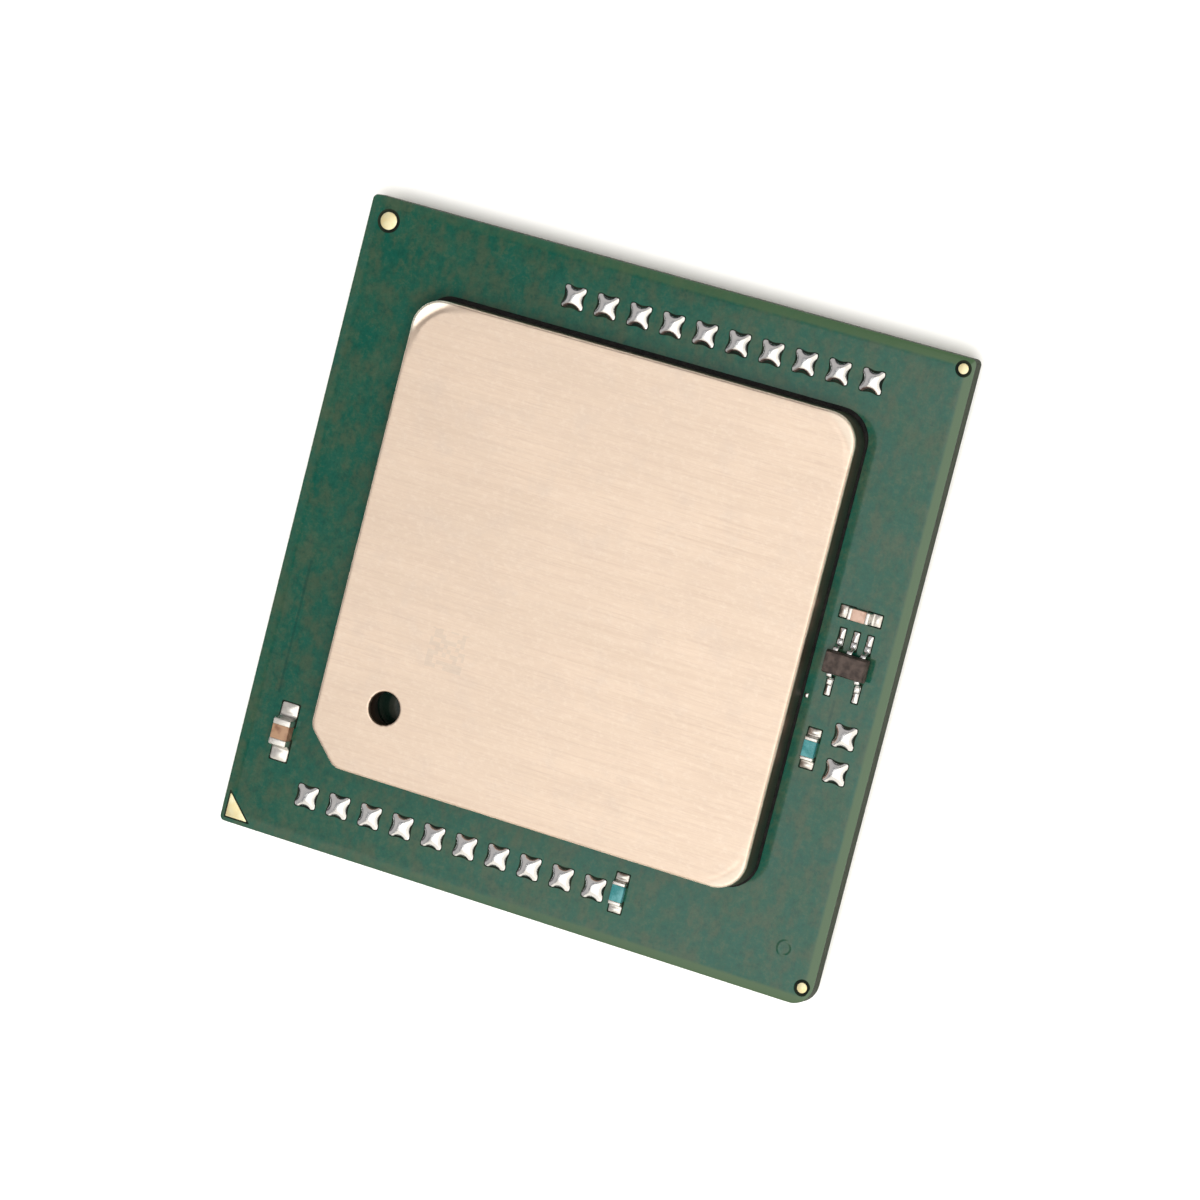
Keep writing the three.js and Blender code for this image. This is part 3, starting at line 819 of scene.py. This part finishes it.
def lead_land_box(node):
    """The land under a lead's foot, which is its outer part."""
    low, high = (corner.copy() for corner in boxes[node])
    body_low, body_high = boxes["five_lead_chip_body"]
    shoulder = 0.2 * MM
    if low.y > body_low.y and high.y > body_high.y:
        low.y = body_high.y + shoulder
    else:
        high.y = body_low.y - shoulder
    return low, high


def circle(node, steps):
    """A round mark's outline, as a function of how much wider it is drawn."""
    low, high = boxes[node]
    centre = (low + high) / 2 / MM
    radius = (high.x - low.x) / 2 / MM
    return lambda wider: arc(centre.x, centre.y, radius + wider, 0, 360, steps)[:-1]


def triangle(wider):
    """The pin-one triangle's outline, drawn wider on every side, with slightly round corners."""
    low, high = boxes["pin_one_marker"]
    x, y = low.x / MM - wider, low.y / MM - wider
    leg = (high.x - low.x) / MM + wider * (2 + math.sqrt(2))
    nip = 0.06
    cut = nip * math.sqrt(0.5)
    return (
        quadratic((x, y + nip), (x, y), (x + nip, y), 3)
        + quadratic((x + leg - nip * 2, y), (x + leg, y), (x + leg - cut * 2, y + cut * 2), 3)
        + quadratic((x + cut * 2, y + leg - cut * 2), (x, y + leg), (x, y + leg - nip * 2), 3)
    )


def build_mask_top():
    """The green sheet on top, thinner at the board's edge, with an opening round each land."""
    bm = bmesh.new()
    low, high = land_level / MM, board_top / MM
    outer = [
        add_loop(bm, board_outline(0), low),
        add_loop(bm, board_outline(0), high - MASK_DROOP - 0.006),
        add_loop(bm, board_outline(0.03), high - MASK_DROOP),
        add_loop(bm, board_outline(MASK_DROOP_WIDTH / 2), high - MASK_DROOP * 0.45),
        add_loop(bm, board_outline(MASK_DROOP_WIDTH), high),
    ]
    bridge_all(bm, outer)
    upper, lower = [outer[-1]], [outer[0]]
    for opening in mask_openings():
        lower.append(add_loop(bm, opening(0), low))
        middle = add_loop(bm, opening(0), high - MASK_LIP)
        upper.append(add_loop(bm, opening(MASK_LIP), high))
        bridge(bm, lower[-1], middle)
        bridge(bm, middle, upper[-1])
    fill(bm, *upper)
    fill(bm, *lower)
    sharpen(make_piece("solder_mask_top_sheet", bm, ["solder_mask"], ["solder_mask_top"]), 20)


def build_mask_bottom():
    """Underneath, the mask runs between the pins and under the capacitors."""
    bm = bmesh.new()
    low, high = (corner.z / MM for corner in boxes["solder_mask_bottom"])
    crown = add_loop(bm, board_outline(MASK_LIP), low)
    middle = add_loop(bm, board_outline(0), low + MASK_LIP)
    top = add_loop(bm, board_outline(0), high)
    bridge(bm, crown, middle)
    bridge(bm, middle, top)
    fill(bm, crown)
    fill(bm, top)
    sharpen(make_piece("solder_mask_bottom_sheet", bm, ["solder_mask"], ["solder_mask_bottom"]), 30)


# ------------------------------------------------------------------------- marks and pads


def build_marks():
    for corner in ("northwest", "northeast", "southeast"):
        node = f"fiducial_{corner}"
        build_mark(node, node + "_disc", circle(node, 48))
    build_mark("pin_one_marker", "pin_one_triangle", triangle)


def build_mark(node, name, outline):
    """A thin flat piece of gold with a softly rounded upper edge."""
    low, high = (corner.z / MM for corner in boxes[node])
    bm = bmesh.new()
    rings = [add_loop(bm, outline(0), low)]
    for inset, drop in ((0.0, 0.012), (0.006, 0.004), (0.018, 0.0)):
        rings.append(add_loop(bm, outline(-inset), high - drop))
    bridge_all(bm, rings)
    fill(bm, rings[0])
    fill(bm, rings[-1])
    make_piece(name, bm, ["gold_plate"], [node])


def solder_pillow(bm, centre, pinch, chance):
    """Solder drawn up into a pillow that reaches out to the four corners of its land."""
    crown = chance.uniform(0.2, 0.215)
    lean_x, lean_y = chance.uniform(-0.07, 0.07), chance.uniform(-0.07, 0.07)
    land = land_level / MM + 0.03

    def height(u, v):
        dome = (1 - abs(u) ** 2.5) * (1 - abs(v) ** 2.5)
        return land + crown * dome * (1 + lean_x * u + lean_y * v)

    place = Matrix.Translation((centre.x, centre.y, 0))
    half = PAD_SIZE / 2
    height_field(bm, place, half, half, land_level / MM, height, (28, 28), pinch=pinch)


def build_test_pads():
    chance = random.Random(22)
    for node in PAD_COUNTS:
        bm = bmesh.new()
        for owner, centre in pad_places():
            if owner == node:
                solder_pillow(bm, centre, PAD_PINCH[node], chance)
        sharpen(make_piece(node + "_solder", bm, ["tin_solder"], [node]), 50)


def build_via():
    bm = bmesh.new()
    place = Matrix.Translation((*VIA_PLACE, 0))
    top = board_top / MM

    def height(u, v):
        return top + VIA_HEIGHT * max(1 - u * u - v * v, 0.0) ** 0.5

    height_field(bm, place, VIA_RADIUS, VIA_RADIUS, top, height, (12, 12))
    make_piece("via_plug", bm, ["tin_solder"])


# ----------------------------------------------------------------------- two-terminal parts


def solder_land(bm, place, start, end, half_width, foot, wet_height, crown=0.11, material=0):
    """Solder on a land: it climbs a part's end face at start, then swells over the land."""
    run = end - start
    shift = place @ Matrix.Translation(((start + end) / 2, 0, 0))
    reach = min(wet_height * 0.8, run * 0.45) / run
    swell_start = reach * 0.5
    skin = 0.035

    def height(u, v):
        t = (u + 1) / 2
        climb = wet_height * max(1 - t / reach, 0.0) ** 2 * (1 - 0.4 * v**4)
        over = 2 * max(t - swell_start, 0.0) / (1 - swell_start) - 1
        swell = crown * (1 - over * over) * (1 - v * v) if t > swell_start else 0.0
        return foot + skin + climb + swell

    height_field(bm, shift, run / 2, half_width, foot, height, (30, 18), material)


def build_chip_body(bm, place, half_length, half_width, low, high, material=0):
    block(bm, place, (-half_length, -half_width, low), (half_length, half_width, high), 0.05, 3, material)


def build_terminal(bm, place, ends, half_width, levels, wet, material=0):
    """One end of a chip part, along +X: its metal cap, then the solder and the land.

    ends: where the cap starts, where it ends, and where the land ends.
    levels: the land's, then the part's underside and top.
    """
    inner, outer, land_end = ends
    foot, low, high = levels
    block(bm, place, (inner, -half_width, low - 0.012), (outer, half_width, high), 0.09, 5, material)
    solder_land(bm, place, outer - 0.05, land_end, half_width, foot, wet, material=material)


def build_chip_parts():
    for name, (axis, terminal, finish) in CHIP_PARTS.items():
        build_chip_part(name, axis, terminal, finish)


def build_chip_part(name, axis, terminal, finish):
    """A ceramic body between two soldered metal caps, along X or Y."""
    low, high = (corner / MM for corner in boxes[name + "_body"])
    centre = (low + high) / 2
    size = high - low if axis == "x" else (high - low).yxz
    half_length, half_width = size.x / 2, size.y / 2
    bm = bmesh.new()
    turn = 0 if axis == "x" else 90
    in_caps, below_caps = 0.03, 0.02
    place = turned(centre, turn)
    build_chip_body(bm, place, half_length + in_caps, half_width - below_caps, low.z, high.z - below_caps)
    make_piece(name + "_ceramic", bm, [finish], [name + "_body"])
    levels = (land_level / MM, low.z, high.z)
    wet = (high.z - low.z) * 0.6
    for k, side in enumerate(("east", "west") if axis == "x" else ("north", "south")):
        node = f"{name}_terminal_{side}"
        spread = (boxes[node][1] - boxes[node][0]) / MM
        reach = spread.x if axis == "x" else spread.y
        ends = (half_length, half_length + terminal, half_length + reach)
        bm = bmesh.new()
        build_terminal(bm, turned(centre, turn + 180 * k), ends, half_width, levels, wet)
        make_piece(node + "_soldered", bm, ["tin_plate"], [node])


def turned(centre, degrees):
    """A place over a point of the board, turned about +Z."""
    return Matrix.Translation((centre.x, centre.y, 0)) @ Matrix.Rotation(math.radians(degrees), 4, "Z")


# ---------------------------------------------------------------------------- five-lead chip


def build_five_lead_chip():
    low, high = boxes["five_lead_chip_body"]
    bm = bmesh.new()
    centre = (low + high) / 2 / MM
    half_x, half_y = (high.x - low.x) / 2 / MM, (high.y - low.y) / 2 / MM
    bottom, top = low.z / MM, high.z / MM
    middle = bottom + 0.52
    # Each level's height, and how far the sides lean in there: widest at the mould's parting line.
    levels = (
        (bottom, 0.12),
        (bottom + 0.02, 0.09),
        (middle - 0.06, 0.0),
        (middle + 0.06, 0.0),
        (top - 0.03, 0.1),
        (top, 0.13),
    )
    corner_radii = [0.06] * 4
    rings = []
    for z, inset in levels:
        outline = rounded_rectangle(centre.x, centre.y, half_x - inset, half_y - inset, corner_radii, 4)
        rings.append(add_loop(bm, outline, z))
    bridge_all(bm, rings)
    fill(bm, rings[0])
    fill(bm, rings[-1])
    sharpen(make_piece("five_lead_chip_moulding", bm, ["black_resin"], ["five_lead_chip_body"]), 25)
    for number in range(1, 6):
        build_lead(f"five_lead_chip_lead_{number}", centre, half_y)


def build_lead(node, chip_centre, half_y):
    """A gull-wing lead: out of the body, down, and along its land, with solder round the foot."""
    low, high = boxes[node]
    x = (low.x + high.x) / 2 / MM
    north = (low.y + high.y) / 2 / MM > chip_centre.y
    place = turned(Vector((x, chip_centre.y, 0)), 90 if north else -90)
    half_width = (high.x - low.x) / 2 / MM
    foot = low.z / MM
    top = high.z / MM
    thickness = 0.13
    shoulder = top - thickness / 2
    centreline = [
        (half_y - 0.05, shoulder),
        (half_y + 0.06, shoulder),
        (half_y + 0.14, shoulder - 0.02),
        (half_y + 0.2, shoulder - 0.08),
        (half_y + 0.24, shoulder - 0.17),
        (half_y + 0.3, foot + 0.27),
        (half_y + 0.35, foot + 0.18),
        (half_y + 0.43, foot + 0.135),
        (half_y + 0.56, foot + 0.125),
        (half_y + 0.8, foot + 0.12),
    ]
    bm = bmesh.new()
    sweep_strip(bm, place, centreline, half_width - 0.02, thickness / 2)
    reach = half_y + (high.y - low.y) / MM
    solder_land(bm, place, half_y + 0.28, reach, half_width, foot, 0.1, 0.09)
    make_piece(node + "_soldered", bm, ["tin_solder"], [node])


def sweep_strip(bm, place, centreline, half_width, half_thickness):
    """A flat strip bent along a line in the plane of run and height, with rounded edges."""
    rings = []
    for k, (run, height) in enumerate(centreline):
        before = centreline[max(k - 1, 0)]
        after = centreline[min(k + 1, len(centreline) - 1)]
        direction = Vector((after[0] - before[0], 0, after[1] - before[1])).normalized()
        normal = Vector((-direction.z, 0, direction.x))
        ring = []
        for across, up in section(half_width, half_thickness):
            point = Vector((run, across, height)) + normal * up
            ring.append(bm.verts.new(place @ point))
        rings.append(ring)
    bridge_all(bm, rings)
    bm.faces.new(rings[0])
    bm.faces.new(rings[-1][::-1])


def section(half_width, half_thickness):
    """A strip's cross-section: a rectangle with well-rounded corners."""
    radius = half_thickness * 0.7
    return rounded_rectangle(0, 0, half_width, half_thickness, [radius] * 4, 4)


# ----------------------------------------------------------------------------------- pins


def pin_profile(bottom, board):
    """A pin's radius at each height: rounded tip, straight shaft, solder at the board."""
    tip_steps, solder_steps = 3, 5
    solder_edge = 0.02
    tip = PIN_TIP_ROUNDING
    profile = [(bottom, PIN_RADIUS - tip)]
    for k in range(1, tip_steps + 1):
        turn = math.pi / 2 * k / tip_steps
        profile.append((bottom + tip * (1 - math.cos(turn)), PIN_RADIUS - tip * (1 - math.sin(turn))))
    solder_end = board - PIN_SOLDER_HEIGHT
    climb, spread = PIN_SOLDER_HEIGHT - solder_edge, PIN_SOLDER_SPREAD - solder_edge
    profile.append((solder_end, PIN_RADIUS))
    for k in range(1, solder_steps + 1):
        t = k / solder_steps
        profile.append((solder_end + climb * t, PIN_RADIUS + spread * t**2.4))
    profile.append((board, PIN_RADIUS + PIN_SOLDER_SPREAD))
    return profile


def pin_places():
    """The grid's points, without the two empty corners towards +Y."""
    last_column, last_row = PIN_COLUMNS - 1, PIN_ROWS - 1
    places = []
    for column in range(PIN_COLUMNS):
        for row in range(PIN_ROWS):
            if row < last_row or 0 < column < last_column:
                x = (column - last_column / 2) * PIN_PITCH
                y = (row - last_row / 2) * PIN_PITCH
                places.append((x, y))
    return places


def build_pins():
    """604 round pins, in the four blocks of the CAD model. The square between them is empty."""
    sides = 14
    bottom = cad_box[0].z / MM
    profile = pin_profile(bottom, boxes["solder_mask_bottom"][0].z / MM)
    for node in ("pins_north", "pins_south", "pins_west", "pins_east"):
        low, high = (corner / MM for corner in boxes[node])
        bm = bmesh.new()
        for x, y in pin_places():
            if low.x < x < high.x and low.y < y < high.y:
                rings = [add_loop(bm, arc(x, y, r, 0, 360, sides)[:-1], z) for z, r in profile]
                bridge_all(bm, rings)
                bm.faces.new(rings[0])
                bm.faces.new(rings[-1][::-1])
        sharpen(make_piece(node + "_round", bm, ["pin_gold"], [node]), 50)


def build_pin_side_capacitors():
    """Capacitors hanging under the board, between the blocks of pins."""
    terminal, land, standoff = 0.4, 0.16, 0.02
    board = boxes["solder_mask_bottom"][0].z / MM
    flip = Matrix.Rotation(math.pi, 4, "X")
    for number in range(1, 13):
        node = f"pin_side_capacitor_{number}"
        low, high = (corner / MM for corner in boxes[node])
        centre = (low + high) / 2
        half_length, half_width = (high.x - low.x) / 2, (high.y - low.y) / 2
        height = board - low.z
        inner = half_length - land - terminal
        ends = (inner, half_length - land, half_length)
        levels = (0.0, standoff, height)
        hanging = Matrix.Translation((centre.x, centre.y, board)) @ flip
        bm = bmesh.new()
        build_chip_body(bm, hanging, inner + 0.03, half_width - 0.03, standoff, height - 0.02)
        for turn in (0, 180):
            place = hanging @ Matrix.Rotation(math.radians(turn), 4, "Z")
            build_terminal(bm, place, ends, half_width, levels, 0.3, material=1)
        make_piece(node + "_soldered", bm, ["tan_ceramic", "tin_plate"], [node])


# -------------------------------------------------------------------------- CAD node looks

CAD_LOOKS = {
    "substrate_core": "laminate",
    "build_up_layers_top": "build_up",
    "build_up_layers_bottom": "build_up",
    "lid_sealant": "sealant",
    "thermal_interface": "thermal_compound",
    "silicon_die": "silicon",
    "underfill": "underfill_resin",
}


def paint_cad_nodes():
    for node, finish in CAD_LOOKS.items():
        assign(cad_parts[node], finish)
    for number in range(1, 7):
        assign(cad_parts[f"die_side_capacitor_{number}"], "tan_ceramic")


def assign(node, finish):
    node.data.materials.clear()
    node.data.materials.append(FINISHES[finish])


# ------------------------------------------------------------------------ camera and stage


def add_camera():
    """A long lens over the lid, standing off towards +X and a little towards +Y."""
    distance = 0.3708
    roll, tip, lean = -14.29, 6.62, -19.99
    aim = Vector((-0.74 * MM, 0.28 * MM, 0))
    to_camera = (
        Matrix.Rotation(math.radians(roll), 3, "Z")
        @ Matrix.Rotation(math.radians(tip), 3, "X")
        @ Matrix.Rotation(math.radians(lean), 3, "Y")
    )
    to_board = to_camera.transposed()
    data = bpy.data.cameras.new("main_camera")
    data.sensor_width = 36
    data.lens = 173.2
    data.clip_start = 0.01
    data.clip_end = 10
    camera = bpy.data.objects.new("main_camera", data)
    place = Vector((0, 0, board_top)) + to_board @ (Vector((0, 0, distance)) - aim)
    camera.matrix_world = Matrix.Translation(place) @ to_board.to_4x4()
    bpy.context.scene.collection.objects.link(camera)
    bpy.context.scene.camera = camera


def add_floor():
    half_size = 1.5
    bm = bmesh.new()
    bmesh.ops.create_grid(bm, x_segments=8, y_segments=8, size=half_size)
    mesh = bpy.data.meshes.new("floor")
    bm.to_mesh(mesh)
    bm.free()
    mesh.materials.append(floor_finish())
    floor = bpy.data.objects.new("floor", mesh)
    floor.location.z = cad_box[0].z
    bpy.context.scene.collection.objects.link(floor)


def add_key_light():
    """A broad soft light overhead, towards +X, which doesn't show in reflections."""
    distance = 0.9
    direction = Vector((0.36, -0.13, 0.92)).normalized()
    data = bpy.data.lights.new("key", "AREA")
    data.shape = "DISK"
    data.size = 0.5
    data.energy = 7.5
    data.color = (1.0, 0.99, 0.98)
    light = bpy.data.objects.new("key", data)
    light.location = direction * distance
    light.rotation_euler = direction.to_track_quat("Z", "Y").to_euler()
    light.visible_glossy = False
    bpy.context.scene.collection.objects.link(light)


def add_room():
    """The world: a soft white canopy, a dim gap and a grey wall towards -X, a dark horizon.

    Below the floor it is pale again, which lights the pins if the floor is taken away.
    """
    world = bpy.data.worlds.new("studio_room")
    bpy.context.scene.world = world
    world.use_nodes = True
    room = Nodes(world.node_tree)
    direction = room.add("ShaderNodeTexCoord").outputs["Generated"]
    up = room.dot(direction, (0, 0, 1))
    overhead = room.range(room.dot(direction, (-0.05, -0.12, 0.99)), 0.88, 0.99)
    glow = room.blend(overhead, (1.1, 1.04, 0.92), (2.1, 2.08, 2.0))
    # How far a direction leans towards +X for each unit that it rises: below 0, towards -X.
    slope = room.math("DIVIDE", room.dot(direction, (0.92, -0.39, 0)), room.math("MAXIMUM", up, 0.02))
    glow = room.blend(room.range(slope, -0.345, -0.245), (0.13, 0.135, 0.15), glow)
    glow = room.blend(room.range(slope, -0.52, -0.4), (0.5, 0.48, 0.46), glow)
    height = room.range(room.dot(direction, (0, -0.15, 1)), 0.25, 0.5)
    glow = room.blend(height, (0.03, 0.03, 0.035), glow)
    glow = room.blend(room.range(up, -0.3, -0.1, 1.0, 0.0), glow, (0.9, 0.89, 0.86))
    room.feed(world.node_tree.nodes["Background"].inputs["Color"], glow)


# ----------------------------------------------------------------------------------- build

paint_cad_nodes()
build_heat_spreader()
build_shade_bead()
build_mask_top()
build_mask_bottom()
build_marks()
build_test_pads()
build_via()
build_chip_parts()
build_five_lead_chip()
build_pins()
build_pin_side_capacitors()
add_camera()
add_floor()
add_room()
add_key_light()
bpy.context.scene.view_settings.view_transform = "Standard"
